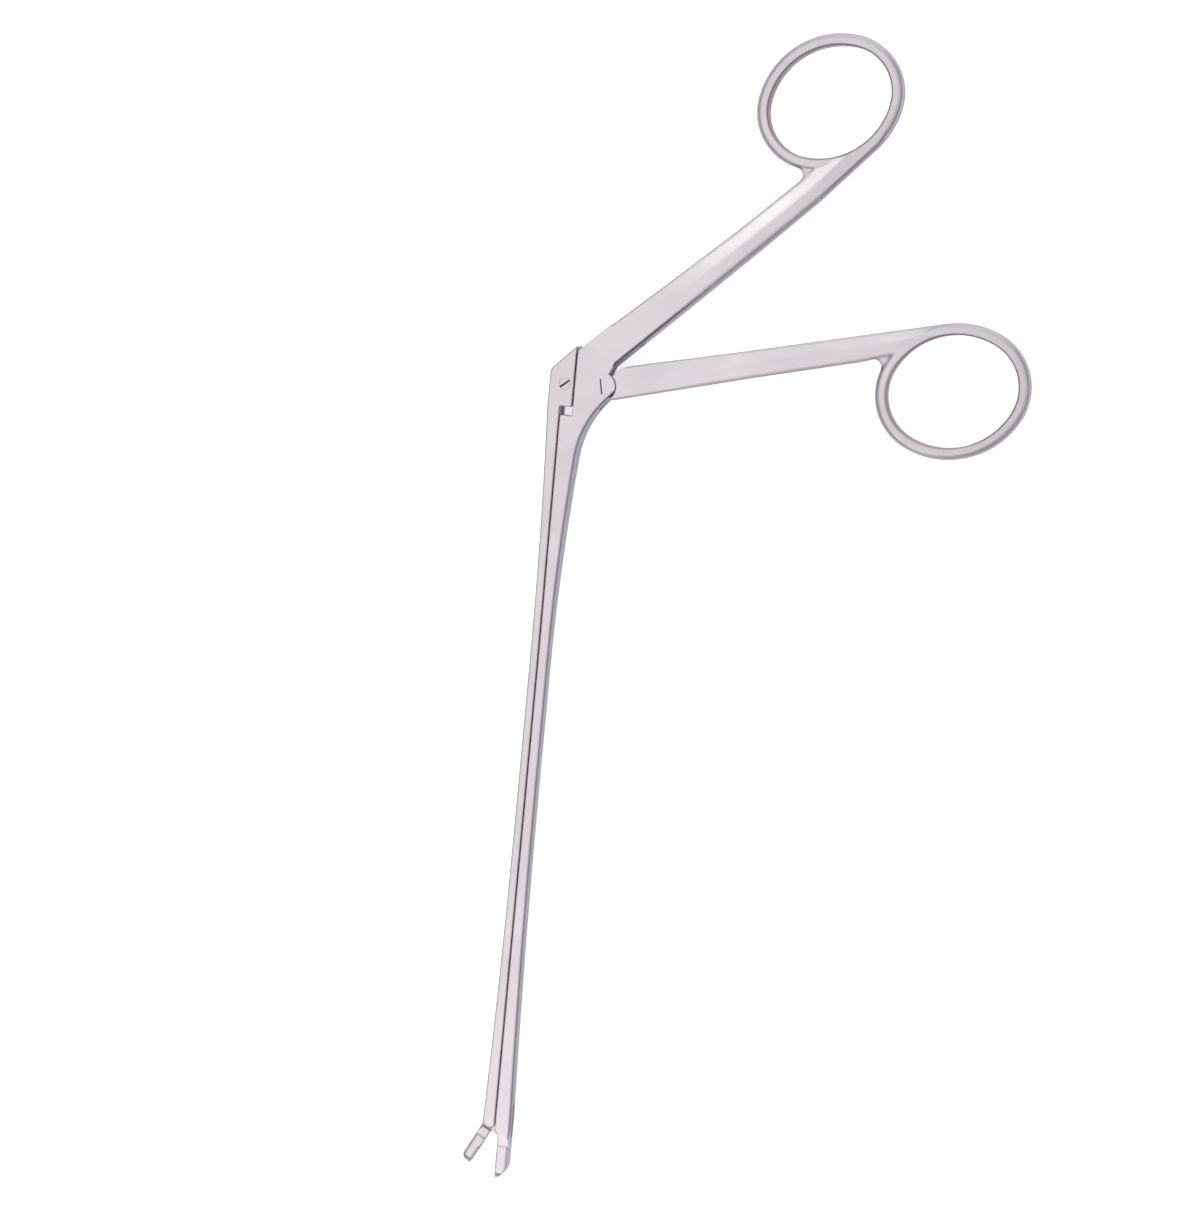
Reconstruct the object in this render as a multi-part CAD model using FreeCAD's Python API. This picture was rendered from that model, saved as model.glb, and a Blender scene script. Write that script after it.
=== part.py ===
import FreeCAD, Part
import math
import os

os.makedirs("parts", exist_ok=True)
V = FreeCAD.Vector

# A pituitary rongeur lying on its side. +Z is its thickness, +Y runs from the jaws back along
# the shaft, and +X points towards the finger ring. The origin is on the axis of the handle's
# pivot, on the flat cheek that the instrument rests on. It is modelled with the jaws open,
# as the rest position. All sizes are in millimetres.

# Thickness of the parts, all centred on one middle plane
body_thick = 6.5
shaft_thick = 4.0
ring_thick = 4.8
middle = body_thick / 2

# The shaft: its sliding faces lie this far from the handle's pivot axis
sliding_face = 9.05
slide_gap = 0.25
pivot_to_jaw = 173.9
taper_start = 10.0
taper_end = 62.0

# Lower shaft: depth below its sliding face, and where along the shaft it changes
lower_depth_body = 4.05
lower_depth_waist = 2.4
lower_depth_jaw = 3.7
lower_flare_start = 22.0
lower_waist_start = 67.0
lower_waist_end = 95.0
underside_round = 0.8

# Slide: height above its own face, and where along the shaft it changes
slide_height_body = 2.95
slide_height_waist = 1.8
slide_height_jaw = 2.8
slide_waist_start = 55.0
slide_waist_end = 105.0
slide_nose = 2.7
slide_nose_round = 1.6
slide_heel_round = 0.8

# The body around the pivot, and the notch that lets the slide travel
boss_radius = 3.35
block_face = 6.2
block_gap = 0.3
block_top = 8.75
block_corner_round = 2.2
notch_drop = 7.5
notch_length = 2.1
notch_round = 0.25
throat_x = 3.95
throat_y = 9.5
throat_round = 23.0
throat_angle = -56.0
recess_radius = 5.35
recess_angle = 63.5
recess_turn = 1.5

# The box joint: the handle's tang turns in a slot between the two cheeks
tang_thick = 2.1
tang_play = 0.05
shoulder_play = 0.15
lever_arm = 8.6
lever_rest_drop = 0.15
lever_root_radius = 3.2
lever_end_radius = 2.0
lever_end_play = 0.5
lever_root_rise = 0.6
lever_root_setback = 1.5
throat_reach = 9.0
box_slot_below = 2.25
box_slot_above = 0.6
box_slot_end = 17.8
box_slot_runout = 1.5
box_slot_round = 2.0
fork_top_play = 1.2
fork_runout = 1.1
fork_top_round = 1.0
fork_foot_round = 1.5

# Screws and pins
main_screw_radius = 1.5
main_head_radius = 1.8
slide_screw_radius = 0.9
slide_head_radius = 1.4
head_height = 1.2
screw_slot_width = 0.34
screw_slot_depth = 0.45
main_slot_angle = 100.5
slide_slot_angle = 39.8
jaw_pin_radius = 0.6
drive_pin_radius = 0.5
running_play = 0.03
slot_play = 0.04

# The T-shaped rail of the slide and its groove
rail_neck_width = 1.1
rail_head_width = 1.95
rail_neck_depth = 0.45
rail_head_depth = 0.65
rail_play = 0.06
rail_stop = 4.2
rail_setback = 1.6
rail_end_play = 0.25

# Jaws: the upper one turns on the lower shaft and is driven by a pin in the slide
jaw_open_angle = 28.0
jaw_pin_depth = 1.95
drive_offset = 3.5
bite_depth = 0.85
bite_play = 0.05
bite_edge_round = 0.15
jaw_shoulder = 4.6
jaw_shoulder_play = 0.1
jaw_length_lower = 14.7
jaw_length_upper = 14.2
upper_height = 2.5
upper_nose = 2.3
lower_nose = 4.8
jaw_neck = 1.6
jaw_neck_length = 2.0
cup_step = 0.5
cup_step_round = 0.4
nose_lip = 0.25
jaw_back_round = 0.8
cup_centre = 10.85
cup_half_length = 3.05
cup_radius = 1.5

# The upper jaw's tang and the pocket that it turns in
jaw_tang_thick = 1.5
jaw_tang_wall = 1.35
jaw_tang_heel = 1.8
jaw_tang_floor = 1.3
jaw_pocket_front = 4.75
jaw_pocket_back = 3.0
jaw_pocket_round = 0.6
jaw_tang_root = 0.5
jaw_tang_slope = 0.15
jaw_tang_back_round = 1.1
jaw_tang_heel_round = 1.6
jaw_tang_inner = 0.55

# Handles: directions of the two arms from the pivot, in degrees above +X
thumb_arm_angle = 43.0
finger_arm_angle = 13.65
thumb_arm_bevel = 0.6
finger_arm_bevel = 0.3
arm_outer_bevel = 0.25

# Stations of the arms: share of the way to the ring, then across the arm the outer edge, the
# ridge and the inner edge, then how far each of the three lies below the body's flat cheek
thumb_arm_stations = [
    (0.055, 9.85, 5.9, 1.88, 0.0, 0.0, 0.0),
    (0.32, 9.25, 5.9, 2.13, 0.0, 0.0, 0.0),
    (0.59, 8.9, 5.7, 2.45, 0.55, 0.05, 0.4),
    (0.81, 9.2, 6.1, 2.9, 1.2, 0.45, 0.85),
    (1.0085, 10.5, 7.5, 4.16, 0.9, 0.8, 0.9)]
finger_arm_stations = [
    (0.006, 3.6, 0.0, -3.5, 0.0, 0.0, 0.0),
    (0.16, 3.6, -2.4, -3.36, 0.0, 0.0, 0.0),
    (0.435, 3.2, 0.0, -3.06, 0.2, 0.0, 0.5),
    (0.745, 3.0, 0.0, -3.02, 0.5, 0.4, 1.1),
    (1.0065, 2.82, 1.0, -1.5, 1.6, 0.83, 0.83)]
thumb_runout_radius = 14.0
finger_runout_radius = 13.0
runout_turn = 40.0

# The heel of the front arm, undercut where it would swing into the rear arm
heel_line = 1.75
heel_start = 2.75
heel_end = 7.5
heel_bulge = 0.95
heel_bulge_rise = 0.1

# Rings: distance of the centre along and across its arm's line, half axes of the opening, and
# the direction of its long axis
thumb_ring_forward = 81.6
thumb_ring_across = 19.2
thumb_ring_axes = (14.8, 12.25)
thumb_ring_angle = 36.1
finger_ring_forward = 80.4
finger_ring_across = -12.7
finger_ring_axes = (15.2, 12.75)
finger_ring_angle = 19.2
ring_width = 2.75
ring_inner_flat = 4.1
ring_inner_bevel = 0.35
ring_outer_round = 1.4
ring_round_flats = 3
corner_round = 1.7
corner_drop = 1.35

# Positions that follow from the sizes
jaw_axis = V(-(sliding_face - jaw_pin_depth), -pivot_to_jaw, 0)
half_open = math.radians(jaw_open_angle / 2)
slide_travel = 2 * drive_offset * math.tan(half_open)
drive_pin_axis = jaw_axis + V(-drive_offset, drive_offset * math.tan(half_open), 0)
slide_screw_axis = V(-lever_arm, -lever_rest_drop, 0)
rest_angle = math.degrees(math.atan(lever_rest_drop / lever_arm))
closed_angle = math.degrees(math.atan((lever_rest_drop + slide_travel) / lever_arm))
handle_turn = closed_angle - rest_angle
lever_reach = lever_arm / math.cos(math.radians(closed_angle))
slide_face = sliding_face + slide_gap
slide_inner = block_face + block_gap
slide_block_end = notch_length - notch_drop
bite_face = sliding_face - bite_depth
upper_bite_face = bite_face + bite_play
far = 2 * body_thick
pivot = V(0, 0, 0)
upward = V(0, 0, 1)


def outline(items):
    """Closed flat wire. (x, y) is a sharp corner, (x, y, r) one rounded to radius r, and a
    ("via", x, y) before a corner makes the leg that reaches it an arc through that point."""
    corners = []
    via = None
    for item in items:
        if item[0] == "via":
            via = V(item[1], item[2], 0)
            continue
        radius = item[2] if len(item) > 2 else 0
        corners.append((V(item[0], item[1], 0), radius, via))
        via = None
    trims = []
    for i, (point, radius, _) in enumerate(corners):
        if radius == 0:
            trims.append((point, None, point))
            continue
        back = (corners[i - 1][0] - point).normalize()
        ahead = (corners[(i + 1) % len(corners)][0] - point).normalize()
        half = back.getAngle(ahead) / 2
        reach = radius / math.tan(half)
        crown = point + (back + ahead).normalize() * (radius / math.sin(half) - radius)
        trims.append((point + back * reach, crown, point + ahead * reach))
    edges = []
    for i, (arrive, crown, leave) in enumerate(trims):
        start = trims[i - 1][2]
        if corners[i][2]:
            edges.append(Part.Arc(start, corners[i][2], arrive).toShape())
        elif start.distanceToPoint(arrive) > 1e-6:
            edges.append(Part.LineSegment(start, arrive).toShape())
        if crown:
            edges.append(Part.Arc(arrive, crown, leave).toShape())
    return Part.Wire(edges)


def slab(items, low, high):
    """A flat outline extruded from one height to another."""
    solid = Part.Face(outline(items)).extrude(V(0, 0, high - low))
    solid.translate(V(0, 0, low))
    return solid


def slot_slab(items, thickness):
    """A flat outline extruded evenly about the middle plane."""
    return slab(items, middle - thickness / 2, middle + thickness / 2)


def plan(items):
    """An outline drawn as (y, z), extruded across the whole width in X."""
    solid = Part.Face(outline(items)).extrude(V(0, 0, 4 * far))
    solid.rotate(V(0, 0, 0), V(1, 1, 1), 120)
    solid.translate(V(-2 * far, 0, 0))
    return solid


def rod(axis, radius, low, high):
    """A round bar along Z."""
    return Part.makeCylinder(radius, high - low, V(axis.x, axis.y, low))


def polar(radius, angle):
    """A point at a distance and direction from the pivot."""
    return (radius * math.cos(math.radians(angle)), radius * math.sin(math.radians(angle)))


def along(angle, forward, across):
    """A point measured along and across a line from the pivot."""
    c = math.cos(math.radians(angle))
    s = math.sin(math.radians(angle))
    return (forward * c - across * s, forward * s + across * c)


def flare(x0, y0, x1, y1):
    """The via point of a long arc that leaves (x0, y0) parallel to the shaft."""
    return ("via", x0 + (x1 - x0) / 4, (y0 + y1) / 2)


def middle_of(edge):
    """The point halfway along an edge."""
    return edge.valueAt((edge.FirstParameter + edge.LastParameter) / 2)


def runs_lengthwise(edge):
    """True for an edge that follows the shaft, and not for one across its thickness or depth."""
    run = edge.tangentAt((edge.FirstParameter + edge.LastParameter) / 2)
    nearly_straight = 0.95
    return abs(run.x) < nearly_straight and abs(run.z) < nearly_straight


def plan_edge(tip):
    """Thickness of body, shaft and jaw seen from the sliding face: flat cheeks that taper to
    the shaft, and a round tip."""
    wide = body_thick / 2
    slim = shaft_thick / 2
    side = [(far * 2, wide), (-taper_start, wide), (-taper_end, slim), (tip, slim, slim)]
    items = [(y, middle + z, *r) for y, z, *r in side]
    items += [(y, middle - z, *r) for y, z, *r in reversed(side)]
    return plan(items)


def neck_grooves():
    """The grooves in both cheeks that narrow the jaws just behind their cups."""
    slim = shaft_thick / 2
    start = jaw_axis.y - jaw_shoulder
    end = start - jaw_neck_length
    side = [(start, slim), (end, jaw_neck, cup_step_round), (end - cup_step, slim),
            (end - cup_step, far), (start, far)]
    grooves = [plan([(y, middle + z, *r) for y, z, *r in side]),
               plan([(y, middle - z, *r) for y, z, *r in side])]
    return grooves[0].fuse(grooves[1])


def nose_arc(lip, back, tip, radius):
    """The round nose of a jaw in side view: from its lip to a tangent point on its back."""
    depth = abs(back - lip)
    sweep = math.acos(1 - depth / radius)
    rise = radius * math.sin(sweep)
    inward = math.copysign(1, lip - back)
    bulge = (back + inward * radius * (1 - math.cos(sweep / 2)),
             tip + rise - radius * math.sin(sweep / 2))
    return [("via", *bulge), (back, tip + rise)]


def lower_nose_cut():
    """What lies outside the round nose of the lower jaw."""
    tip = jaw_axis.y - jaw_length_lower
    lip = -bite_face + nose_lip
    back = lower_depth_jaw - sliding_face
    return slab([(-sliding_face, tip - far), (-sliding_face, tip), (lip, tip),
                 *nose_arc(lip, back, tip, lower_nose),
                 (0, jaw_axis.y - jaw_shoulder), (0, tip - far)], -far, far)


def frame_side():
    """Side view of the fixed half: body, lower shaft and lower jaw, with the body still square
    at the boss."""
    waist = sliding_face - lower_depth_waist
    jaw_back = sliding_face - lower_depth_jaw
    body_back = sliding_face - lower_depth_body
    tip = jaw_axis.y - jaw_length_lower
    arm = math.radians(thumb_arm_angle)
    arm_outer = thumb_arm_stations[0][1]
    boss_end = V(*polar(boss_radius, throat_angle), 0)
    beyond = boss_end + (boss_end + V(throat_x, throat_y, 0)) * 0.5
    corner = (arm_outer * math.sin(arm) - block_face) / math.cos(arm)
    return [along(thumb_arm_angle, corner, arm_outer),
            (-block_face, -notch_drop, notch_round),
            (-sliding_face, -notch_drop, notch_round),
            (-sliding_face, jaw_axis.y - jaw_pocket_back, jaw_pocket_round),
            (-bite_face, jaw_axis.y - jaw_shoulder + jaw_shoulder_play, jaw_pocket_round),
            (-bite_face, tip - far),
            (-jaw_back, tip - far),
            (-jaw_back, jaw_axis.y),
            flare(-waist, -lower_waist_end, -jaw_back, jaw_axis.y),
            (-waist, -lower_waist_end),
            (-waist, -lower_waist_start),
            flare(-waist, -lower_waist_start, -body_back, -lower_flare_start),
            (-body_back, -lower_flare_start),
            (-throat_x, -throat_y, throat_round),
            (beyond.x, beyond.y),
            along(thumb_arm_angle, 2 * recess_radius, arm_outer - recess_radius),
            along(thumb_arm_angle, 2 * recess_radius, arm_outer)]


def body_mask():
    """What the boss and the recess above it leave of the body. It leaves the shaft whole."""
    arm_outer = thumb_arm_stations[0][1]
    arm_ridge = thumb_arm_stations[0][2]
    return slab([polar(boss_radius, throat_angle),
                 ("via", boss_radius, 0),
                 polar(boss_radius, recess_angle - recess_turn),
                 polar(recess_radius, recess_angle),
                 along(thumb_arm_angle, 2 * recess_radius, arm_ridge),
                 along(thumb_arm_angle, 2 * recess_radius, arm_outer + 1),
                 (-2 * far, far), (-2 * far, -2 * pivot_to_jaw), (far, -2 * pivot_to_jaw),
                 polar(far, throat_angle)], -far, far)


def cup(face):
    """The hollow of a jaw, as a ball-ended cutter leaves it along the bite face."""
    run = cup_half_length - cup_radius
    start = V(-face, jaw_axis.y - cup_centre - run, middle)
    solid = Part.makeCylinder(cup_radius, 2 * run, start, V(0, 1, 0))
    for place in (start, start + V(0, 2 * run, 0)):
        solid = solid.fuse(Part.makeSphere(cup_radius, place))
    return solid


def oval_arcs(axes):
    """The four arcs that make an oval of the given half axes: each one's centre and radius,
    then its start and its sweep in degrees."""
    long, short = axes
    tight = short * short / long
    end = tight + (short - tight) / 5
    side = (long * long + short * short - 2 * long * end) / (2 * (short - end))
    turn = math.degrees(math.atan2(side - short, long - end))
    return [(V(long - end, 0, 0), end, -turn, 2 * turn),
            (V(0, short - side, 0), side, turn, 180 - 2 * turn),
            (V(end - long, 0, 0), end, 180 - turn, 2 * turn),
            (V(0, side - short, 0), side, 180 + turn, 180 - 2 * turn)]


def round_oval(section, axes):
    """A section swept round an oval. The section is a function of the arc's radius."""
    pieces = []
    for centre, radius, start, sweep in oval_arcs(axes):
        face = Part.Face(Part.Wire(section(radius)))
        face.rotate(V(0, 0, 0), upward, start)
        face.translate(centre)
        pieces.append(face.revolve(centre, upward, sweep))
    return pieces[0].fuse(pieces[1:])


def ring_section(radius):
    """Section of a finger ring: a flat inner wall, small bevels, flat cheeks and an outer side
    that is rounded by a few flats at even angles."""
    flat = ring_inner_flat / 2
    half = ring_thick / 2
    step = math.radians(90 / (ring_round_flats + 1))
    centre = V(radius + ring_width - ring_outer_round, 0, half - ring_outer_round)
    reach = ring_outer_round / math.cos(step / 2)
    upper = [V(radius, 0, flat), V(radius + ring_inner_bevel, 0, half)]
    for i in range(ring_round_flats + 1):
        turn = (i + 0.5) * step
        upper.append(centre + V(reach * math.sin(turn), 0, reach * math.cos(turn)))
    path = upper + [V(p.x, 0, -p.z) for p in reversed(upper)]
    return [Part.LineSegment(p, q).toShape() for p, q in zip(path, path[1:] + path[:1])]


def opening_section(radius):
    """Section of what is cut from an arm at the edge of a ring's opening."""
    flat = ring_inner_flat / 2
    high = body_thick
    flared = radius + (high - flat) * ring_inner_bevel / (ring_thick / 2 - flat)
    inside = radius / 2
    path = [V(inside, 0, -high), V(flared, 0, -high), V(radius, 0, -flat), V(radius, 0, flat),
            V(flared, 0, high), V(inside, 0, high), V(inside, 0, -high)]
    return [Part.LineSegment(p, q).toShape() for p, q in zip(path, path[1:])]


def arm_section(forward, outer, ridge, inner, drops, bevel):
    """Ten-sided section of an arm: a ridge along each cheek and a bevel along both edges."""
    half = body_thick / 2
    outer_high, ridge_high, inner_high = (half - drop for drop in drops)
    side = [(outer, outer_high - arm_outer_bevel), (outer - arm_outer_bevel, outer_high),
            (ridge, ridge_high), (inner + bevel, inner_high), (inner, inner_high - bevel)]
    near = [V(forward, v, h) for v, h in side]
    away = [V(forward, v, -h) for v, h in reversed(side)]
    return Part.makePolygon(near + away + near[:1])


def arm(angle, length, bevel, stations, runout):
    """A forged arm as a loft of its sections. Its end turns into the ring, about a centre that
    lies at the run-out radius from one edge."""
    wires = []
    for share, outer, ridge, inner, *drops in stations:
        wires.append(arm_section(share * length, outer, ridge, inner, drops, bevel))
    solid = Part.makeLoft(wires, True, True)
    share, outer, _, inner, *_ = stations[-1]
    edge = inner if runout > 0 else outer
    centre = V(share * length, edge + runout, 0)
    turn = math.copysign(runout_turn, runout)
    solid = solid.fuse(Part.Face(wires[-1]).revolve(centre, upward, turn))
    solid.rotate(pivot, upward, angle)
    solid.translate(V(0, 0, middle))
    return solid


def corner_web(edge, place, axes, angle):
    """A small web that rounds the corner between an arm's edge and the outside of its ring.
    The edge is given by two points, and the ring by its centre, half axes and direction."""
    start = edge[0]
    run = (edge[1] - start).normalize()
    away = upward.cross(run)
    if (place - start).dot(away) < 0:
        away = away * -1
    for arc_centre, radius, arc_start, sweep in oval_arcs(axes):
        turned = FreeCAD.Rotation(upward, angle).multVec(arc_centre) + place
        reach = radius + ring_width + corner_round
        height = (turned - start).dot(away) - corner_round
        if abs(height) > reach:
            continue
        forward = (turned - start).dot(run) - math.sqrt(reach * reach - height * height)
        foot = start + run * forward
        centre = foot + away * corner_round
        bearing = math.degrees(math.atan2(centre.y - turned.y, centre.x - turned.x)) - angle
        if (bearing - arc_start) % 360 <= sweep:
            break
    touch = centre + (turned - centre) * (corner_round / reach)
    inward = ((foot - centre) + (touch - centre)).normalize()
    waist = centre + inward * corner_round
    deep = centre + inward * (3 * corner_round)
    return slot_slab([(foot.x, foot.y), ("via", waist.x, waist.y), (touch.x, touch.y),
                      (deep.x, deep.y)], body_thick - 2 * corner_drop)


def ringed_arm(angle, stations, bevel, runout, place, axes, ring_angle):
    """An arm with its finger ring. The ring's place is given along and across the arm."""
    forward, across = place
    bar = arm(angle, forward, bevel, stations, runout)
    centre = V(*along(angle, forward, across), 0)
    opening = round_oval(opening_section, axes)
    ring = round_oval(ring_section, axes)
    for solid in (opening, ring):
        solid.rotate(pivot, upward, ring_angle)
        solid.translate(centre + V(0, 0, middle))
    side = 1 if across > 0 else 3
    edge = [V(*along(angle, station[0] * forward, station[side]), 0)
            for station in stations[-2:]]
    web = corner_web(edge, centre, axes, ring_angle)
    return bar.cut(opening).fuse(ring).fuse(web)


def t_section(play, low, high):
    """The rail, or the groove when given its play: a neck and a wider head, between two places
    along the shaft."""
    root = slide_face + block_gap
    neck_top = sliding_face - rail_neck_depth
    neck_half = rail_neck_width / 2 + play
    head_half = rail_head_width / 2 + play
    neck = Part.makeBox(root - neck_top, high - low, 2 * neck_half)
    neck.translate(V(-root, low, middle - neck_half))
    head = Part.makeBox(rail_head_depth + 2 * play, high - low, 2 * head_half)
    head.translate(V(-neck_top - play, low, middle - head_half))
    return neck.fuse(head)


def radial_slot(centre, angle, near_end, far_end, radius):
    """A slot along a line from a pivot, for a pin that slides a little as it turns."""
    solid = rod(centre + V(near_end, 0, 0), radius, -far, far)
    solid = solid.fuse(rod(centre + V(far_end, 0, 0), radius, -far, far))
    bar = Part.makeBox(far_end - near_end, 2 * radius, 2 * far)
    bar.translate(centre + V(near_end, -radius, -far))
    solid = solid.fuse(bar)
    solid.rotate(centre, upward, angle)
    return solid


def screw_space(axis, radius, head_radius):
    """The bore and the counterbore that a screw fills."""
    shank = rod(axis, radius, -far, body_thick)
    return shank.fuse(rod(axis, head_radius, body_thick - head_height, far))


def screw(axis, radius, head_radius, slot_angle):
    """A slotted screw, flush with both cheeks."""
    solid = rod(axis, radius, 0, body_thick - head_height)
    solid = solid.fuse(rod(axis, head_radius, body_thick - head_height, body_thick))
    slot = Part.makeBox(4 * head_radius, screw_slot_width, 2 * screw_slot_depth)
    slot.translate(V(-2 * head_radius, -screw_slot_width / 2, body_thick - screw_slot_depth))
    slot.rotate(pivot, upward, slot_angle)
    slot.translate(axis)
    return solid.removeSplitter().cut(slot)


def pin(axis, radius):
    """A plain pin, flush with both sides of the shaft."""
    return rod(axis, radius, middle - shaft_thick / 2, middle + shaft_thick / 2)


def box_slot():
    """The slot between the two cheeks of the body, open towards the slide, under the boss and
    along the inner edge of the rear arm."""
    low = -(boss_radius + box_slot_below)
    high = boss_radius + box_slot_above
    return slot_slab([(-slide_inner - 1, low), (2 * boss_radius, low),
                      along(thumb_arm_angle, box_slot_end, -far),
                      along(thumb_arm_angle, box_slot_end, box_slot_runout),
                      (-1, high, box_slot_round), (-slide_inner - 1, high)],
                     tang_thick + 2 * tang_play)


def jaw_slot(high, low, left, right):
    """The slot for the upper jaw's tang, in the slide's end or in the lower shaft."""
    return slot_slab([(left, high), (right, high), (right, low), (left, low)],
                     jaw_tang_thick + 2 * tang_play)


def frame():
    """Fixed half: body, lower shaft, lower jaw, rear arm and thumb ring in one forging."""
    solid = slab(frame_side(), 0, body_thick)
    solid = solid.common(plan_edge(jaw_axis.y - jaw_length_lower))
    rounded = []
    for edge in solid.Edges:
        point = middle_of(edge)
        in_notch = point.x < 0.1 - block_face and point.y > -taper_start
        below = point.y < polar(boss_radius, throat_angle)[1]
        if below and point.x > 0.3 - bite_face and not in_notch and runs_lengthwise(edge):
            rounded.append(edge)
    solid = solid.makeFillet(underside_round, rounded)
    solid = solid.common(body_mask())
    solid = solid.cut(lower_nose_cut()).cut(neck_grooves()).cut(cup(bite_face))
    place = (thumb_ring_forward, thumb_ring_across)
    bar = ringed_arm(thumb_arm_angle, thumb_arm_stations, thumb_arm_bevel,
                     thumb_runout_radius, place, thumb_ring_axes, thumb_ring_angle)
    solid = solid.fuse(bar).cut(box_slot())
    solid = solid.cut(t_section(rail_play, jaw_axis.y + rail_stop, 1 - notch_drop))
    solid = solid.cut(jaw_slot(jaw_axis.y + jaw_pocket_back, jaw_axis.y - jaw_pocket_front,
                               -slide_face - 1, 0))
    solid = solid.cut(screw_space(pivot, main_screw_radius, main_head_radius))
    return solid.cut(rod(jaw_axis, jaw_pin_radius, -far, far))


def heel_cut():
    """What is taken off the root of the front arm so that it clears the rear arm when shut."""
    root = finger_arm_stations[1][1]
    return slab([along(finger_arm_angle, 0, root + boss_radius),
                 along(finger_arm_angle, 0, heel_line),
                 along(finger_arm_angle, heel_start, heel_line),
                 ("via", *along(finger_arm_angle, (heel_start + heel_end) / 2 - heel_bulge,
                                (heel_line + root) / 2 + heel_bulge_rise)),
                 along(finger_arm_angle, heel_end, root + 0.02),
                 along(finger_arm_angle, heel_end, root + boss_radius)], -far, far)


def lever():
    """The thin tang of the front arm, with the lever end that pushes the slide."""
    bottom = middle - tang_thick / 2
    top = middle + tang_thick / 2
    end = V(-(lever_arm + lever_reach) / 2, 0, 0)
    blade = slot_slab([(0, lever_root_radius), (end.x, lever_end_radius),
                       (end.x, -lever_end_radius), (0, -lever_root_radius)], tang_thick)
    blade = blade.fuse(rod(end, lever_end_radius, bottom, top))
    blade.rotate(pivot, upward, rest_angle)
    root_low = lever_root_rise - lever_root_radius
    root_end = heel_end - lever_root_setback
    root = slot_slab([along(finger_arm_angle, 0, root_low),
                      along(finger_arm_angle, root_end, root_low),
                      along(finger_arm_angle, root_end, heel_line),
                      along(finger_arm_angle, 0, heel_line)], tang_thick)
    return rod(pivot, boss_radius - 0.1, bottom, top).fuse(blade).fuse(root)


def finger_handle():
    """Moving half: front arm and ring, with a thin tang that turns between the cheeks and a
    lever end that pushes the slide."""
    place = (finger_ring_forward, finger_ring_across)
    bar = ringed_arm(finger_arm_angle, finger_arm_stations, finger_arm_bevel,
                     -finger_runout_radius, place, finger_ring_axes, finger_ring_angle)
    bar = bar.cut(rod(pivot, boss_radius + shoulder_play, -far, far))
    throat = [(0, 0)] + [polar(throat_reach, turn) for turn in (-50, -110, -180)]
    bar = bar.cut(slab(throat, -far, far)).cut(heel_cut())
    solid = bar.fuse(lever())
    solid = solid.cut(rod(pivot, main_screw_radius + running_play, -far, far))
    return solid.cut(radial_slot(pivot, 180 + rest_angle, lever_arm - slot_play,
                                 lever_reach + slot_play, slide_screw_radius + slot_play))


def slide_side():
    """Side view of the slide: the block at the body, the slim bar and the forked end."""
    outer = slide_face + slide_height_body
    waist = slide_face + slide_height_waist
    jaw = slide_face + slide_height_jaw
    end = jaw_axis.y - slide_nose
    return [(-slide_inner, block_top),
            (-outer, block_top - (outer - slide_inner), block_corner_round),
            (-outer, slide_block_end),
            flare(-waist, -slide_waist_start, -outer, slide_block_end),
            (-waist, -slide_waist_start),
            (-waist, -slide_waist_end),
            flare(-waist, -slide_waist_end, -jaw, jaw_axis.y),
            (-jaw, jaw_axis.y),
            (-jaw, end, slide_nose_round),
            (-slide_face, end, slide_heel_round),
            (-slide_face, slide_block_end, notch_round),
            (-slide_inner, slide_block_end, notch_round)]


def slide():
    """The upper shaft: a block pushed by the lever, a slim bar on a T-shaped rail, and a forked
    end that drives the upper jaw."""
    solid = slab(slide_side(), 0, body_thick)
    solid = solid.common(plan_edge(jaw_axis.y - jaw_length_lower))
    rail_end = jaw_axis.y + rail_stop + slide_travel + rail_end_play
    solid = solid.fuse(t_section(0, rail_end, -notch_drop - rail_setback))
    depth = lever_arm + lever_end_radius + lever_end_play
    top = lever_end_radius + fork_top_play
    foot = -notch_drop - fork_runout
    solid = solid.cut(slot_slab([(1 - slide_inner, top), (-depth, top, fork_top_round),
                                 (-depth, slide_block_end, fork_foot_round),
                                 (-slide_face, foot), (1 - slide_inner, foot)],
                                tang_thick + 2 * tang_play))
    solid = solid.cut(jaw_slot(jaw_axis.y + jaw_pocket_back, jaw_axis.y - 2 * slide_nose,
                               -slide_face - 2 * slide_height_jaw, 1 - sliding_face))
    solid = solid.cut(screw_space(slide_screw_axis, slide_screw_radius, slide_head_radius))
    return solid.cut(rod(drive_pin_axis, drive_pin_radius, -far, far))


def jaw_tang():
    """The thin tang of the upper jaw, which reaches from the cup over both of its pins."""
    root = upper_bite_face + jaw_axis.x + upper_height
    reach = -jaw_shoulder - jaw_tang_root
    tang = slot_slab([(-root + jaw_tang_slope, reach), (-root, -jaw_shoulder),
                      (-drive_offset - jaw_tang_wall, jaw_tang_root, jaw_tang_back_round),
                      (jaw_tang_heel, jaw_tang_heel, jaw_tang_heel_round),
                      (jaw_tang_inner, -jaw_shoulder), (-jaw_tang_floor, -jaw_shoulder),
                      (-jaw_tang_floor, reach)], jaw_tang_thick)
    tang.translate(jaw_axis)
    return tang


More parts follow.
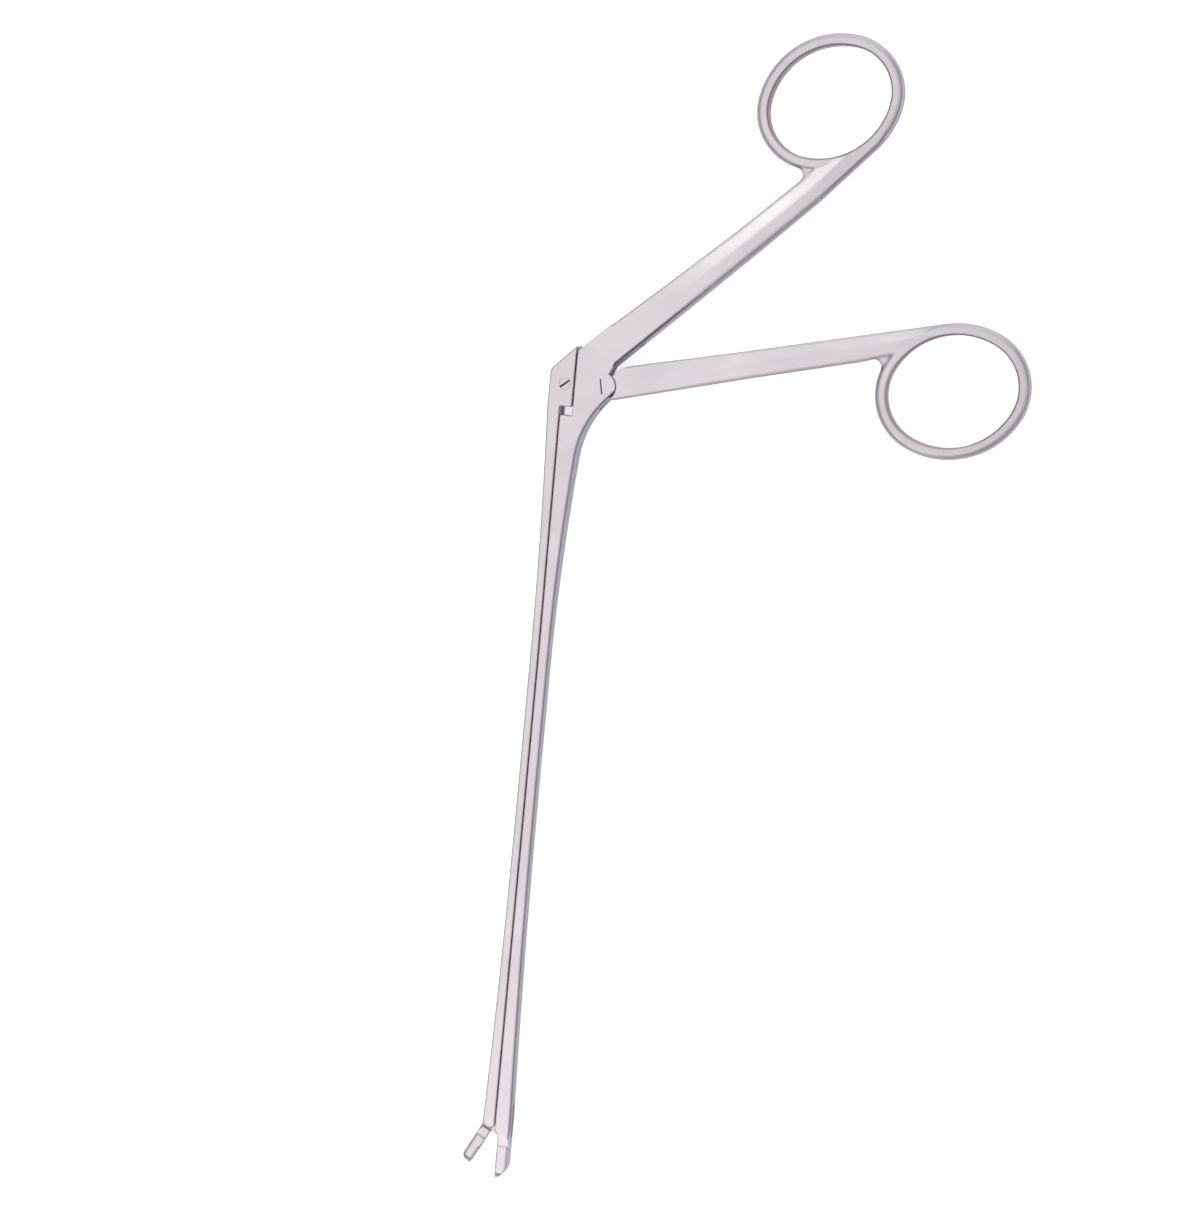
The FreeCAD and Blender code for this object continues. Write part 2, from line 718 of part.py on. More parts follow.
def upper_jaw():
    """The moving jaw: a hollow cup on a thin tang, pivoted below and driven above."""
    back = upper_bite_face + upper_height
    shoulder = jaw_axis.y - jaw_shoulder
    tip = jaw_axis.y - jaw_length_upper
    blank = slab([(-upper_bite_face, jaw_axis.y), (-back, jaw_axis.y),
                  (-back, tip - far), (-upper_bite_face, tip - far)], -far, far)
    blank = blank.common(plan_edge(tip))
    rounded = []
    for edge in blank.Edges:
        point = middle_of(edge)
        if point.x < 0.1 - back and point.y < jaw_axis.y - 0.1:
            rounded.append(edge)
    solid = blank.makeFillet(jaw_back_round, rounded)
    solid = solid.common(slab([(-upper_bite_face, shoulder), (-back, shoulder),
                               (-back, tip, upper_nose),
                               (-upper_bite_face, tip, bite_edge_round)], -far, far))
    solid = solid.cut(neck_grooves()).cut(cup(upper_bite_face)).fuse(jaw_tang())
    solid = solid.cut(rod(jaw_axis, jaw_pin_radius + running_play, -far, far))
    solid = solid.cut(radial_slot(jaw_axis, 180 + jaw_open_angle / 2, drive_offset - slot_play,
                                  drive_offset / math.cos(half_open) + slot_play,
                                  drive_pin_radius + slot_play))
    solid.rotate(jaw_axis, upward, -jaw_open_angle)
    return solid


def main():
    pieces = {
        "thumb_handle_frame": frame(),
        "finger_handle": finger_handle(),
        "slide": slide(),
        "upper_jaw": upper_jaw(),
        "main_pivot_screw": screw(pivot, main_screw_radius, main_head_radius, main_slot_angle),
        "slide_screw": screw(slide_screw_axis, slide_screw_radius, slide_head_radius,
                             slide_slot_angle),
        "jaw_pivot_pin": pin(jaw_axis, jaw_pin_radius),
        "jaw_drive_pin": pin(drive_pin_axis, drive_pin_radius),
    }
    for name, shape in pieces.items():
        if len(shape.Solids) == 1:
            shape = shape.Solids[0]
        shape.exportStep("parts/" + name + ".step")
        print(name, shape.ShapeType, shape.isValid(), len(shape.Faces), round(shape.Volume, 1))
    print("jaw axis", jaw_axis, "drive pin", drive_pin_axis)
    print("slide travel", slide_travel, "handle turn", handle_turn)


main()
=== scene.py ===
# %% [markdown]
# # A pituitary rongeur in satin stainless steel
# The instrument lies flat on a white table with its jaws open. It has eight metal pieces: the
# rear handle with the fixed shaft, the front handle, the slide, the hinged jaw, two flush
# screws and two riveted pins. The solids come from the CAD frame, already in their places and
# in metres. What is left to make here is the finish of the steel, the light and the camera.

# %% Load the frame
import math

import bpy
from mathutils import Matrix, Vector


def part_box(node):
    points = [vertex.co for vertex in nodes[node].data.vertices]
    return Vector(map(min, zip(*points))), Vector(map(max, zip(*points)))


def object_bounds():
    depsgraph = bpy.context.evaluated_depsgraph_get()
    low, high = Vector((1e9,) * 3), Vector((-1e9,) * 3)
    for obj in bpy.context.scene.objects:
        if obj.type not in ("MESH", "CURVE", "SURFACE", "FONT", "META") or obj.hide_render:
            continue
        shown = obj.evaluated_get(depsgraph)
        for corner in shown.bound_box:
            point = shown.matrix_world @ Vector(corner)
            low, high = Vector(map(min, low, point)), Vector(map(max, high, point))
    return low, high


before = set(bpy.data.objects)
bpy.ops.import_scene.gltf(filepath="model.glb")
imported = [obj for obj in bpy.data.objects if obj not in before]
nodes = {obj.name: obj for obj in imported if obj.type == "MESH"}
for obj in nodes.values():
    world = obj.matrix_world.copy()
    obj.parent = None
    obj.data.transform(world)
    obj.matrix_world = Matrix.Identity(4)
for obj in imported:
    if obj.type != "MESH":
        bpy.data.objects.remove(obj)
cad_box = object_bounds()
print("nodes", sorted(nodes))

# %% [markdown]
# ## Small helpers for node trees
# A material is a tree of nodes. A few helpers keep the cells below short: they add a node, join
# two sockets, do one sum, take a smooth step of a value, and start a node group.


# %% Node helpers
METRE = 1000.0


def add(tree, kind, **values):
    """Add a node, set its plain properties, and return it."""
    node = tree.nodes.new(kind)
    for key, value in values.items():
        setattr(node, key, value)
    return node


def join(tree, source, target):
    """Link a socket to another, or set a plain value on it."""
    if isinstance(source, (int, float, tuple)):
        target.default_value = source
    else:
        tree.links.new(source, target)


def maths(tree, operation, *values, clamp=False):
    """One step of arithmetic on sockets or numbers."""
    node = add(tree, "ShaderNodeMath", operation=operation, use_clamp=clamp)
    for value, socket in zip(values, node.inputs):
        join(tree, value, socket)
    return node.outputs[0]


def vector_maths(tree, operation, *values):
    """One step of arithmetic on vectors."""
    node = add(tree, "ShaderNodeVectorMath", operation=operation)
    for value, socket in zip(values, node.inputs):
        join(tree, value, socket)
    return node.outputs["Value"] if operation == "LENGTH" else node.outputs[0]


def slope(tree, source, low, high, start=0.0, end=1.0):
    """A smooth step of a value: start below low, end above high."""
    ramp = add(tree, "ShaderNodeMapRange", interpolation_type="SMOOTHSTEP")
    labels = ("Value", "From Min", "From Max", "To Min", "To Max")
    for label, value in zip(labels, (source, low, high, start, end)):
        join(tree, value, ramp.inputs[label])
    return ramp.outputs[0]


def blend(tree, first, second, share):
    """Mix one colour into another by a share."""
    mix = add(tree, "ShaderNodeMix", data_type="RGBA")
    join(tree, first, mix.inputs["A"])
    join(tree, second, mix.inputs["B"])
    join(tree, share, mix.inputs["Factor"])
    return mix.outputs["Result"]


def millimetres(tree):
    """The point's place in the object's own space, in millimetres."""
    place = add(tree, "ShaderNodeTexCoord")
    scale = add(tree, "ShaderNodeVectorMath", operation="SCALE")
    scale.inputs["Scale"].default_value = METRE
    join(tree, place.outputs["Object"], scale.inputs[0])
    return scale.outputs[0]


def split(tree, vector):
    """The X, Y and Z of a vector."""
    parts = add(tree, "ShaderNodeSeparateXYZ")
    join(tree, vector, parts.inputs[0])
    return parts.outputs


def new_group(name, inputs, outputs):
    """An empty node group with named sockets. Returns the tree, its entry and its exit."""
    tree = bpy.data.node_groups.new(name, "ShaderNodeTree")
    for label, kind, value in inputs:
        socket = tree.interface.new_socket(label, in_out="INPUT", socket_type=kind)
        socket.default_value = value
    for label, kind in outputs:
        tree.interface.new_socket(label, in_out="OUTPUT", socket_type=kind)
    return tree, add(tree, "NodeGroupInput"), add(tree, "NodeGroupOutput")


# %% [markdown]
# ## The satin grain
# Surgical steel is blasted with fine glass beads, so that it doesn't dazzle under the lamp.
# Seen close, the face is a field of tiny pits with no direction. A photograph could be used,
# but it would repeat, so the pits are a fine noise in the object's own space. The group puts
# out a height for the pits, and a slow mask for the cloudy unevenness that blasting leaves.

# %% Group: bead blast
PIT_DETAIL, CLOUD_DETAIL = 3.0, 2.0


def bead_blast_group():
    """Fine pits and slow clouds, in millimetres of object space."""
    tree, entry, exit_ = new_group(
        "bead_blast",
        [("Pit size mm", "NodeSocketFloat", 0.12), ("Cloud size mm", "NodeSocketFloat", 9.0)],
        [("Height", "NodeSocketFloat"), ("Clouds", "NodeSocketFloat")])
    place = millimetres(tree)
    layers = (("Pit size mm", PIT_DETAIL, "Height"), ("Cloud size mm", CLOUD_DETAIL, "Clouds"))
    for size, detail, result in layers:
        noise = add(tree, "ShaderNodeTexNoise", noise_dimensions="3D")
        noise.inputs["Detail"].default_value = detail
        join(tree, place, noise.inputs["Vector"])
        join(tree, maths(tree, "DIVIDE", 1.0, entry.outputs[size]), noise.inputs["Scale"])
        join(tree, noise.outputs["Fac"], exit_.inputs[result])
    return tree


bead_blast = bead_blast_group()
print("group", bead_blast.name)

# %% [markdown]
# ## Broken edges, cheeks and sides
# A grinder never leaves a knife edge: each edge of the body is broken by a fine stroke, and the
# forged arms are rubbed much softer on a belt. The solids have sharp edges there. A bevelled
# mesh would be heavy, so the Bevel node rounds only the normals, near an edge. Its radius grows
# along the arms and at the jaws, and it is nothing where a screw or pin was ground flush with
# its seat. The rounded normal also tells the flat blasted cheeks from the polished sides, and
# both from the narrow edge between them. The sides get a darker colour than the cheeks, and the
# edge on the body and the shaft a darker one still, wider on left-facing edges: painted shade.
# Lengths are in millimetres: the arms' span is along X, the rings' from the pivot, the jaws' along
# Y.
# The cheek's starts and the wall's span are parts of the rounded normal along Z or X.

# %% Group: broken edges
ARM_STARTS, ARM_FULL = 8.0, 30.0
RING_STARTS, RING_FULL = 66.0, 74.0
JAWS_START, JAWS_FULL = -180.5, -182.5
NECK_SPAN = (-176.0, -179.0)
SEAT_RIM = (0.35, 0.55)
CHEEK_STARTS_LEFT = 0.945
CHEEK_STARTS_RIGHT = 0.87
CHEEK_STARTS_HANDLE = 0.55
CHEEK_FULL = 0.985
TURNS_RIGHT = (-0.05, 0.05)
WALL_ENDS = (0.05, 0.40)
NO_SEAT = (0.0, 1000.0, 0.0)


def away_from_seat(tree, place, seat):
    """0 at the rim of a seat and 1 beyond it. The seat holds its X, Y and radius."""
    seat_x, seat_y, seat_radius = split(tree, seat)
    x, y, _ = split(tree, place)
    across = maths(tree, "SUBTRACT", x, seat_x)
    along = maths(tree, "SUBTRACT", y, seat_y)
    reach = maths(tree, "SQRT", maths(tree, "ADD", maths(tree, "MULTIPLY", across, across),
                                      maths(tree, "MULTIPLY", along, along)))
    return slope(tree, maths(tree, "SUBTRACT", reach, seat_radius), *SEAT_RIM)


def broken_edge_group():
    """Rounded normals, and masks for the flat cheeks, the painted shade on the crisp edges, the
    rings and handles.
    """
    tree, entry, exit_ = new_group(
        "broken_edges",
        [("Crisp mm", "NodeSocketFloat", 0.42), ("Soft mm", "NodeSocketFloat", 1.0),
         ("Jaw mm", "NodeSocketFloat", 0.7), ("Seat A", "NodeSocketVector", NO_SEAT),
         ("Seat B", "NodeSocketVector", NO_SEAT)],
        [("Normal", "NodeSocketVector"), ("Cheek", "NodeSocketFloat"),
         ("Edge shade", "NodeSocketFloat"), ("Ring", "NodeSocketFloat"),
         ("Handle", "NodeSocketFloat")])
    place = millimetres(tree)
    x, y, _ = split(tree, place)
    reach = vector_maths(tree, "LENGTH", place)
    handle = slope(tree, x, ARM_STARTS, ARM_FULL)
    ring = maths(tree, "MULTIPLY", handle, slope(tree, reach, RING_STARTS, RING_FULL))
    arm = maths(tree, "SUBTRACT", handle, ring)
    jaws = slope(tree, y, JAWS_START, JAWS_FULL)
    radius = slope(tree, arm, 0.0, 1.0, entry.outputs["Crisp mm"], entry.outputs["Soft mm"])
    radius = slope(tree, jaws, 0.0, 1.0, radius, entry.outputs["Jaw mm"])
    for label in ("Seat A", "Seat B"):
        clear = away_from_seat(tree, place, entry.outputs[label])
        radius = maths(tree, "MULTIPLY", radius, clear)
    bevel = add(tree, "ShaderNodeBevel")
    join(tree, maths(tree, "DIVIDE", radius, METRE), bevel.inputs["Radius"])
    own = add(tree, "ShaderNodeVectorTransform", vector_type="NORMAL", convert_from="WORLD",
              convert_to="OBJECT")
    join(tree, bevel.outputs["Normal"], own.inputs[0])
    facing = split(tree, own.outputs[0])
    flatness = maths(tree, "ABSOLUTE", facing["Z"])
    join(tree, bevel.outputs["Normal"], exit_.inputs["Normal"])
    # Painted shade: the cheek starts later on left-facing normals, so the dark edge is wider along
    # left edges.
    crisp_starts = slope(tree, facing["X"], *TURNS_RIGHT, CHEEK_STARTS_LEFT, CHEEK_STARTS_RIGHT)
    cheek_starts = slope(tree, handle, 0.0, 1.0, crisp_starts, CHEEK_STARTS_HANDLE)
    cheek = slope(tree, flatness, cheek_starts, CHEEK_FULL)
    not_wall = slope(tree, flatness, *WALL_ENDS)
    rubbed = maths(tree, "ADD", handle, slope(tree, y, *NECK_SPAN))
    # The edge mask carries painted shade. It is left off the handles and off the jaw end beyond the
    # neck.
    edge_shade = maths(tree, "SUBTRACT", not_wall, maths(tree, "ADD", cheek, rubbed), clamp=True)
    join(tree, cheek, exit_.inputs["Cheek"])
    join(tree, edge_shade, exit_.inputs["Edge shade"])
    join(tree, ring, exit_.inputs["Ring"])
    join(tree, handle, exit_.inputs["Handle"])
    return tree


broken_edges = broken_edge_group()
print("group", broken_edges.name)

# %% [markdown]
# ## Inside and outside of a ring
# The inner wall of each ring's opening is painted darker and browner than the rest, a painted
# shade, and the outer side carries fine strokes of the belt that run across it. The group is
# told where a ring lies. It measures how far a point is from the ring's centre, in shares of
# the opening's half axes, and takes the strokes from a noise of the angle alone.


# %% Group: ring wall shade and strokes
WALL_REACH = (1.035, 1.015)
STROKE_SCALE, STROKE_DETAIL = 70.0, 2.0


def ring_shade_and_strokes_group():
    """A mask for the painted shade on the opening's wall, and strokes that run outwards from the
    ring's centre.
    """
    tree, entry, exit_ = new_group(
        "ring_shade_and_strokes",
        [("Centre mm", "NodeSocketVector", NO_SEAT), ("Turn", "NodeSocketFloat", 0.0),
         ("Half axes mm", "NodeSocketVector", (15.0, 12.5, 1.0))],
        [("Wall shade", "NodeSocketFloat"), ("Strokes", "NodeSocketFloat")])
    from_centre = vector_maths(tree, "SUBTRACT", millimetres(tree), entry.outputs["Centre mm"])
    turned = add(tree, "ShaderNodeVectorRotate", rotation_type="Z_AXIS")
    join(tree, from_centre, turned.inputs["Vector"])
    join(tree, entry.outputs["Turn"], turned.inputs["Angle"])
    shares = vector_maths(tree, "DIVIDE", turned.outputs[0], entry.outputs["Half axes mm"])
    x, y, _ = split(tree, shares)
    flat = add(tree, "ShaderNodeCombineXYZ")
    join(tree, x, flat.inputs["X"])
    join(tree, y, flat.inputs["Y"])
    reach = vector_maths(tree, "LENGTH", flat.outputs[0])
    join(tree, slope(tree, reach, *WALL_REACH), exit_.inputs["Wall shade"])
    noise = add(tree, "ShaderNodeTexNoise", noise_dimensions="1D")
    noise.inputs["Scale"].default_value = STROKE_SCALE
    noise.inputs["Detail"].default_value = STROKE_DETAIL
    join(tree, maths(tree, "ARCTAN2", y, x), noise.inputs["W"])
    join(tree, noise.outputs["Fac"], exit_.inputs["Strokes"])
    return tree


ring_shade_and_strokes = ring_shade_and_strokes_group()
print("group", ring_shade_and_strokes.name)

# %% [markdown]
# ## The steel
# Stainless steel is a metal, so its colour is the colour of its reflections. Its tint here is
# a light grey with a trace of warm lilac. The cheeks are rougher and paler, the sides smoother,
# and the masks come from the groups above. The sides, more so on the handles, and the broken
# edges get darker colours than the cheeks: painted shade. At a low angle rough steel reflects
# less than a mirror would, so the tint for grazing light is turned down on the shader itself.

# %% Material: steel
CHEEK_TINT = (0.69, 0.648, 0.672, 1.0)
RING_TINT = (0.62, 0.585, 0.615, 1.0)
# Painted shade: the sides are tinted darker than the cheeks, more so on the handles, and the broken
# edges darker again.
SHADED_SIDE_TINT = (0.60, 0.57, 0.64, 1.0)
EDGE_SHADE_TINT = (0.38, 0.355, 0.40, 1.0)
SHADED_HANDLE_SIDE_TINT = (0.55, 0.515, 0.58, 1.0)
# Painted shade: the darker, browner colour of the rings' inner walls.
WALL_SHADE_TINT = (0.48, 0.415, 0.42, 1.0)
GRAZING_TINT = (0.72, 0.69, 0.76, 1.0)
HEAD_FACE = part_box("main_pivot_screw")[1].z * METRE
FACE_SKIN, SLOT_SURE = 0.02, 0.08
CLOUD_SPAN, CLOUD_SHADE = (0.2, 0.8), (0.96, 1.04)
STROKE_SPAN, STROKE_SHADE = (0.3, 0.7), (-0.07, 0.07)
PIT_STRENGTH = 0.35


def paint_slot_shade(tree, colour, slot_shade):
    """Paint the slot shade, a painted shade, on what lies below a screw's head face and above its
    foot.
    """
    height = split(tree, millimetres(tree))["Z"]
    below = slope(tree, height, HEAD_FACE - FACE_SKIN, HEAD_FACE - SLOT_SURE)
    above_foot = slope(tree, height, FACE_SKIN, SLOT_SURE)
    return blend(tree, colour, slot_shade, maths(tree, "MULTIPLY", below, above_foot))


def shade_and_stroke_ring(tree, colour, shade, edges, ring):
    """Give a ring a darker, browner inner wall, a painted shade, and the strokes on its outer side.
    """
    shade_and_strokes = add(tree, "ShaderNodeGroup", node_tree=ring_shade_and_strokes)
    for label, value in zip(("Centre mm", "Turn", "Half axes mm"), ring):
        shade_and_strokes.inputs[label].default_value = value
    # Painted shade on the ring's inner wall.
    colour = blend(tree, colour, WALL_SHADE_TINT, shade_and_strokes.outputs["Wall shade"])
    rubbed = maths(tree, "SUBTRACT", edges.outputs["Ring"], edges.outputs["Cheek"], clamp=True)
    stroke = slope(tree, shade_and_strokes.outputs["Strokes"], *STROKE_SPAN, *STROKE_SHADE)
    return colour, maths(tree, "MULTIPLY_ADD", stroke, rubbed, shade)


def steel(name, cheek=CHEEK_TINT, shaded_side=SHADED_SIDE_TINT, edge_shade=EDGE_SHADE_TINT, roughness=(0.26, 0.38),
          pits=(0.12, 0.01), rounding=(0.42, 1.2, 0.7), seats=(), ring=None, slot_shade=None):
    """Satin steel. Roughness is for sides and cheeks, pits are a size and a depth in mm, and
    rounding gives the radii of the edges on body, arms and jaws in mm. The shaded side and the
    edge shade are darker colours for the sides and the broken edges, painted shade. A slot shade
    is the colour inside a screw's slot, painted shade."""
    material = bpy.data.materials.new(name)
    material.use_nodes = True
    tree = material.node_tree
    shader = tree.nodes["Principled BSDF"]
    shader.inputs["Metallic"].default_value = 1.0
    shader.inputs["Specular Tint"].default_value = GRAZING_TINT
    edges = add(tree, "ShaderNodeGroup", node_tree=broken_edges)
    for label, radius in zip(("Crisp mm", "Soft mm", "Jaw mm"), rounding):
        edges.inputs[label].default_value = radius
    for label, seat in zip(("Seat A", "Seat B"), seats):
        edges.inputs[label].default_value = seat
    # Painted shade: darker sides, darker still on the handles, and darker broken edges.
    shaded_side_colour = blend(tree, shaded_side, SHADED_HANDLE_SIDE_TINT, edges.outputs["Handle"])
    shaded_side_colour = blend(tree, shaded_side_colour, edge_shade, edges.outputs["Edge shade"])
    cheek_colour = blend(tree, cheek, RING_TINT, edges.outputs["Ring"])
    colour = blend(tree, shaded_side_colour, cheek_colour, edges.outputs["Cheek"])
    if slot_shade:
        colour = paint_slot_shade(tree, colour, slot_shade)
    blast = add(tree, "ShaderNodeGroup", node_tree=bead_blast)
    blast.inputs["Pit size mm"].default_value = pits[0]
    shade = slope(tree, blast.outputs["Clouds"], *CLOUD_SPAN, *CLOUD_SHADE)
    if ring:
        colour, shade = shade_and_stroke_ring(tree, colour, shade, edges, ring)
    tinted = add(tree, "ShaderNodeVectorMath", operation="SCALE")
    join(tree, colour, tinted.inputs[0])
    join(tree, shade, tinted.inputs["Scale"])
    join(tree, tinted.outputs[0], shader.inputs["Base Color"])
    rough = slope(tree, edges.outputs["Cheek"], 0.0, 1.0, *roughness)
    join(tree, rough, shader.inputs["Roughness"])
    bump = add(tree, "ShaderNodeBump")
    bump.inputs["Strength"].default_value = PIT_STRENGTH
    bump.inputs["Distance"].default_value = pits[1] / METRE
    join(tree, blast.outputs["Height"], bump.inputs["Height"])
    join(tree, edges.outputs["Normal"], bump.inputs["Normal"])
    join(tree, bump.outputs["Normal"], shader.inputs["Normal"])
    return material


# %% Where the screws, pins and rings lie
def seat_of(node):
    """The axis and radius of a round piece, in millimetres, from its box."""
    low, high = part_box(node)
    centre = (low + high) / 2 * METRE
    return (centre.x, centre.y, (high.x - low.x) / 2 * METRE)


def ring_place(arm_angle, forward, across, ring_angle, half_axes):
    """A ring's centre, turn and half axes, from its place along and across its arm."""
    turn = math.radians(arm_angle)
    x = forward * math.cos(turn) - across * math.sin(turn)
    y = forward * math.sin(turn) + across * math.cos(turn)
    return (x, y, 0.0), -math.radians(ring_angle), (*half_axes, 1.0)


thumb_ring = ring_place(arm_angle=43.0, forward=81.6, across=19.2, ring_angle=36.1,
                        half_axes=(14.8, 12.25))
finger_ring = ring_place(arm_angle=13.65, forward=80.4, across=-12.7, ring_angle=19.2,
                         half_axes=(15.2, 12.75))
print("rings at", thumb_ring[0], finger_ring[0])

# %% Finishes of the eight pieces
JAW_TINT = (0.61, 0.585, 0.59, 1.0)
# Painted shade: a near-black colour along the slide's broken edges.
SLIDE_EDGE_SHADE_TINT = (0.14, 0.13, 0.16, 1.0)
# Painted shade: dark colours inside the screw slots, tan in the main screw's slot.
DARK_SLOT_SHADE = (0.07, 0.06, 0.06, 1.0)
TAN_SLOT_SHADE = (0.22, 0.19, 0.15, 1.0)
finishes = {
    "thumb_handle_frame": steel("frame_steel", ring=thumb_ring,
                                seats=(seat_of("main_pivot_screw"), seat_of("jaw_pivot_pin"))),
    "finger_handle": steel("handle_steel", edge_shade=SHADED_SIDE_TINT, ring=finger_ring),
    "slide": steel("slide_steel", edge_shade=SLIDE_EDGE_SHADE_TINT, rounding=(0.65, 0.65, 0.65),
                   seats=(seat_of("slide_screw"), seat_of("jaw_drive_pin"))),
    "upper_jaw": steel("jaw_steel", cheek=JAW_TINT, roughness=(0.26, 0.36), pits=(0.09, 0.006),
                       rounding=(0.2, 0.2, 1.0)),
    "main_pivot_screw": steel("main_screw_steel", slot_shade=TAN_SLOT_SHADE, rounding=(0.0, 0.0, 0.0)),
    "slide_screw": steel("slide_screw_steel", slot_shade=DARK_SLOT_SHADE, rounding=(0.3, 0.0, 0.0)),
    "jaw_pivot_pin": steel("pivot_pin_steel", rounding=(0.0, 0.0, 0.0)),
    "jaw_drive_pin": steel("drive_pin_steel", rounding=(0.0, 0.0, 0.0)),
}
for name, material in finishes.items():
    mesh = nodes[name].data
    mesh.materials.clear()
    mesh.materials.append(material)
print("finished", len(finishes), "nodes")

# %% [markdown]
# ## The white table
# The photograph has a pure white ground. The floor is a plain white sheet. For the camera and
# for reflections it also glows a little, so it reaches white without more light on the steel,
# and the soft shadow under the instrument stays.

# %% Floor
FLOOR_SIZE = 6.0
FLOOR_GAP = 0.0002
FLOOR_WHITE = (0.8, 0.8, 0.8, 1.0)
FLOOR_ROUGHNESS = 0.9
GLOW_SEEN = 0.7
GLOW_IN_METAL = 0.35


def white_floor():
    """A large white sheet just under the instrument."""
    mesh = bpy.data.meshes.new("floor")
    half = FLOOR_SIZE / 2
    low = cad_box[0][2] - FLOOR_GAP
    corners = [(-half, -half, low), (half, -half, low), (half, half, low), (-half, half, low)]
    mesh.from_pydata(corners, [], [(0, 1, 2, 3)])
    floor = bpy.data.objects.new("floor", mesh)
    bpy.context.scene.collection.objects.link(floor)
    material = bpy.data.materials.new("white_floor")
    material.use_nodes = True
    tree = material.node_tree
    shader = tree.nodes["Principled BSDF"]
    shader.inputs["Base Color"].default_value = FLOOR_WHITE
    shader.inputs["Roughness"].default_value = FLOOR_ROUGHNESS
    shader.inputs["Emission Color"].default_value = (1.0, 1.0, 1.0, 1.0)
    path = add(tree, "ShaderNodeLightPath")
    mirrored = maths(tree, "ADD", path.outputs["Is Glossy Ray"],
                     path.outputs["Is Transmission Ray"], clamp=True)
    in_metal = maths(tree, "MULTIPLY", mirrored, GLOW_IN_METAL)
    glow = maths(tree, "MULTIPLY_ADD", path.outputs["Is Camera Ray"], GLOW_SEEN, in_metal)
    join(tree, glow, shader.inputs["Emission Strength"])
    mesh.materials.append(material)
    return floor


floor = white_floor()
print("floor at", round(cad_box[0][2] - FLOOR_GAP, 5))

# %% [markdown]
# ## The light
# Steel shows what surrounds it, so the surroundings are the light. The world is a pale tent:
# white overhead, open and bright behind the rings, grey on the right and in front, and dark low
# on the left. The dark flag on the left draws the thin dark lines along the left edges. Each
# part of the tent grows white with height, over the span given for it. Two large weak lamps
# brighten the rear arm's outer facet and the jaws.

# %% World
SKY_TOP = (1.0, 0.985, 0.99, 1.0)
SKY_SIDE = (0.32, 0.31, 0.35, 1.0)
SKY_FLAG = (0.05, 0.045, 0.05, 1.0)
SKY_BACK = (1.20, 1.20, 1.22, 1.0)
SKY_STRENGTH = 0.95
SIDES_GROW = (0.20, 0.95)
FLAG_GROWS = (0.28, 0.78)
FRONT_GROWS = (0.66, 0.98)
BACK_GROWS = (0.15, 0.85)
TO_LEFT = (-0.15, -0.60)
TO_FRONT = (-0.15, -0.60)
TO_BACK = (0.70, 0.92)


def pale_tent():
    """World light: white overhead, with a dark flag low on the left and a bright back."""
    world = bpy.data.worlds.new("tent")
    bpy.context.scene.world = world
    world.use_nodes = True
    tree = world.node_tree
    background = tree.nodes["Background"]
    place = add(tree, "ShaderNodeTexCoord")
    x, y, z = split(tree, place.outputs["Generated"])
    sides = blend(tree, SKY_SIDE, SKY_TOP, slope(tree, z, *SIDES_GROW))
    flag = blend(tree, SKY_FLAG, SKY_TOP, slope(tree, z, *FLAG_GROWS))
    front = blend(tree, SKY_SIDE, SKY_TOP, slope(tree, z, *FRONT_GROWS))
    back = blend(tree, SKY_BACK, SKY_TOP, slope(tree, z, *BACK_GROWS))
    whole = blend(tree, sides, flag, slope(tree, x, *TO_LEFT))
    whole = blend(tree, whole, front, slope(tree, y, *TO_FRONT))
    whole = blend(tree, whole, back, slope(tree, y, *TO_BACK))
    join(tree, whole, background.inputs["Color"])
    background.inputs["Strength"].default_value = SKY_STRENGTH
    return world


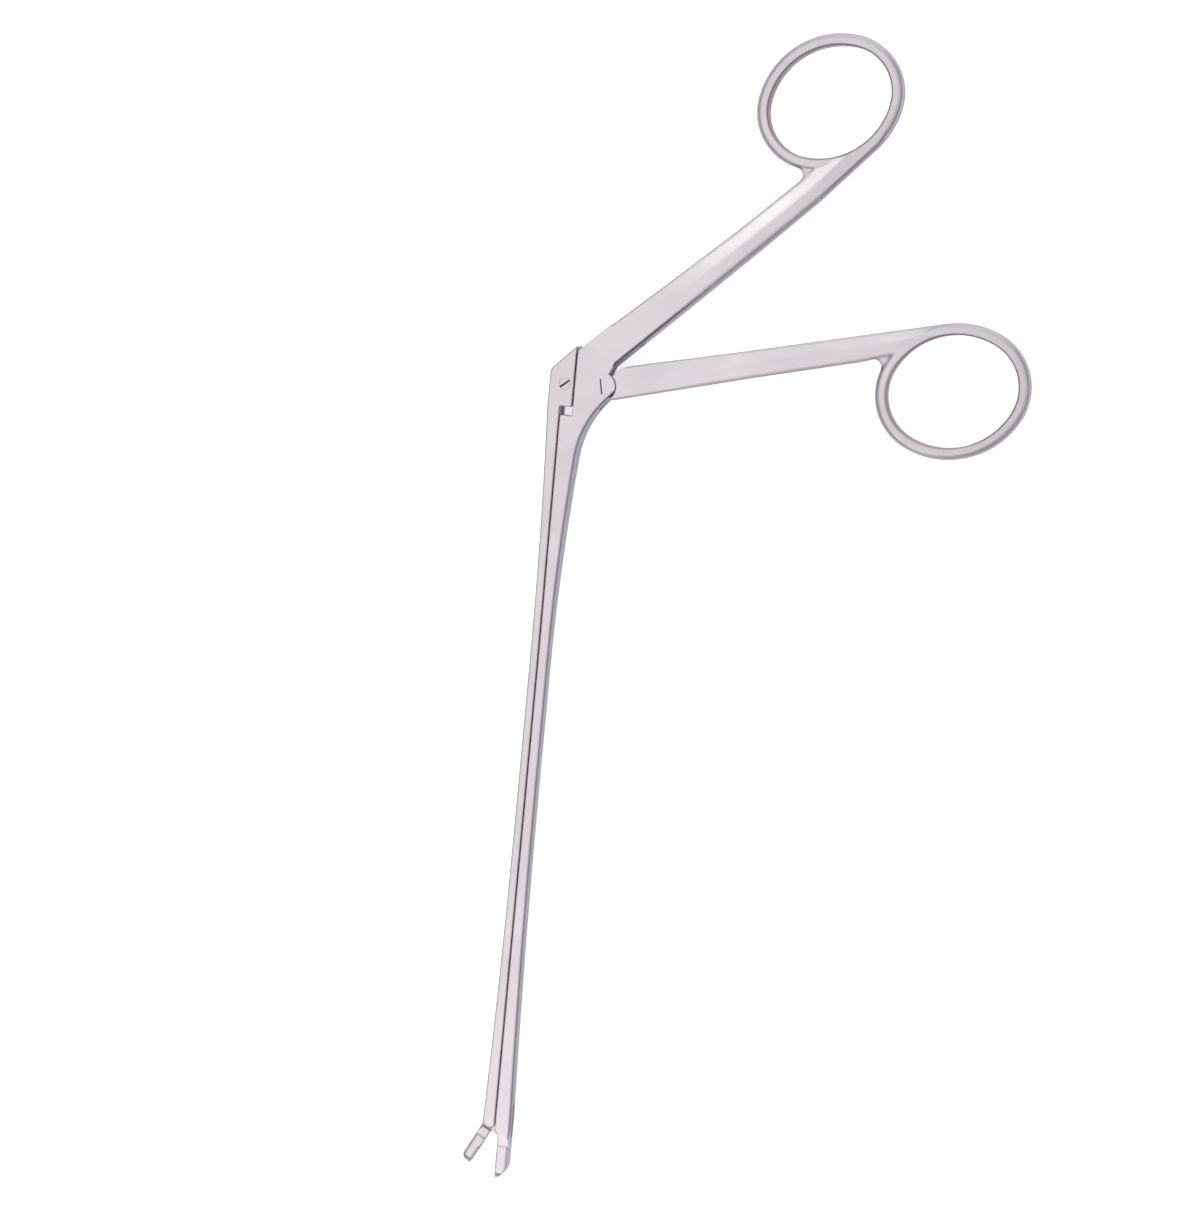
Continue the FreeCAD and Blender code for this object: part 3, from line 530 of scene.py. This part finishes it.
def soft_lamp(name, place, target, size, power, colour):
    """A rectangular softbox aimed at a point."""
    light = bpy.data.lights.new(name, "AREA")
    light.shape = "RECTANGLE"
    light.size, light.size_y = size
    light.energy = power
    light.color = colour
    lamp = bpy.data.objects.new(name, light)
    lamp.location = place
    lamp.rotation_euler = (Vector(target) - Vector(place)).to_track_quat("-Z", "Y").to_euler()
    bpy.context.scene.collection.objects.link(lamp)
    return lamp


pale_tent()
soft_lamp("key", place=(-0.62, 0.62, 1.4), target=(0.03, 0.03, 0.0), size=(0.8, 0.8), power=2.3,
          colour=(0.88, 1.0, 0.95))
soft_lamp("front", place=(-0.40, -1.05, 1.4), target=(0.0, -0.15, 0.0), size=(0.55, 1.0), power=2.8,
          colour=(1.0, 0.98, 0.97))
print("lamps 2")

# %% [markdown]
# ## The camera
# The camera looks down on the table from a little to the right, so the right-hand sides of
# the shaft and the rings' inner walls show. It is set up in the plane of the picture, where
# the pivot's place is known, and then turned with the instrument by a small roll.

# %% Camera
LENS_MM = 116.1
SENSOR_MM = 36.0
ROLL = math.radians(5.45)
NEAR_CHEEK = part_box("thumb_handle_frame")[1].z
EYE = Vector((0.175, 0.005, 0.88102))
AIM = Vector((-0.0002, -0.0507, 0.0))
PIVOT_IN_PICTURE = Vector((0.000036, -0.000081, 0.0))


def picture_camera():
    """The photograph's viewpoint, brought from the picture's plane to the instrument's."""
    turn = Matrix.Rotation(ROLL, 4, "Z")
    forward = (AIM - EYE).normalized()
    right = forward.cross(Vector((0, 1, 0))).normalized()
    up = right.cross(forward)
    facing = Matrix((right, up, -forward)).transposed().to_4x4()
    spot = EYE - PIVOT_IN_PICTURE
    data = bpy.data.cameras.new("camera")
    data.lens = LENS_MM
    data.sensor_width = SENSOR_MM
    data.sensor_fit = "HORIZONTAL"
    camera = bpy.data.objects.new("camera", data)
    place = turn @ spot + Vector((0, 0, NEAR_CHEEK))
    camera.matrix_world = Matrix.Translation(place) @ turn @ facing
    bpy.context.scene.collection.objects.link(camera)
    bpy.context.scene.camera = camera
    return camera


camera = picture_camera()
print("camera at", [round(v, 4) for v in camera.matrix_world.translation])

# %% [markdown]
# ## Finish
# The last cell sets the standard view transform, so that colours render as they are written.

# %% Finish
bpy.context.scene.view_settings.view_transform = "Standard"
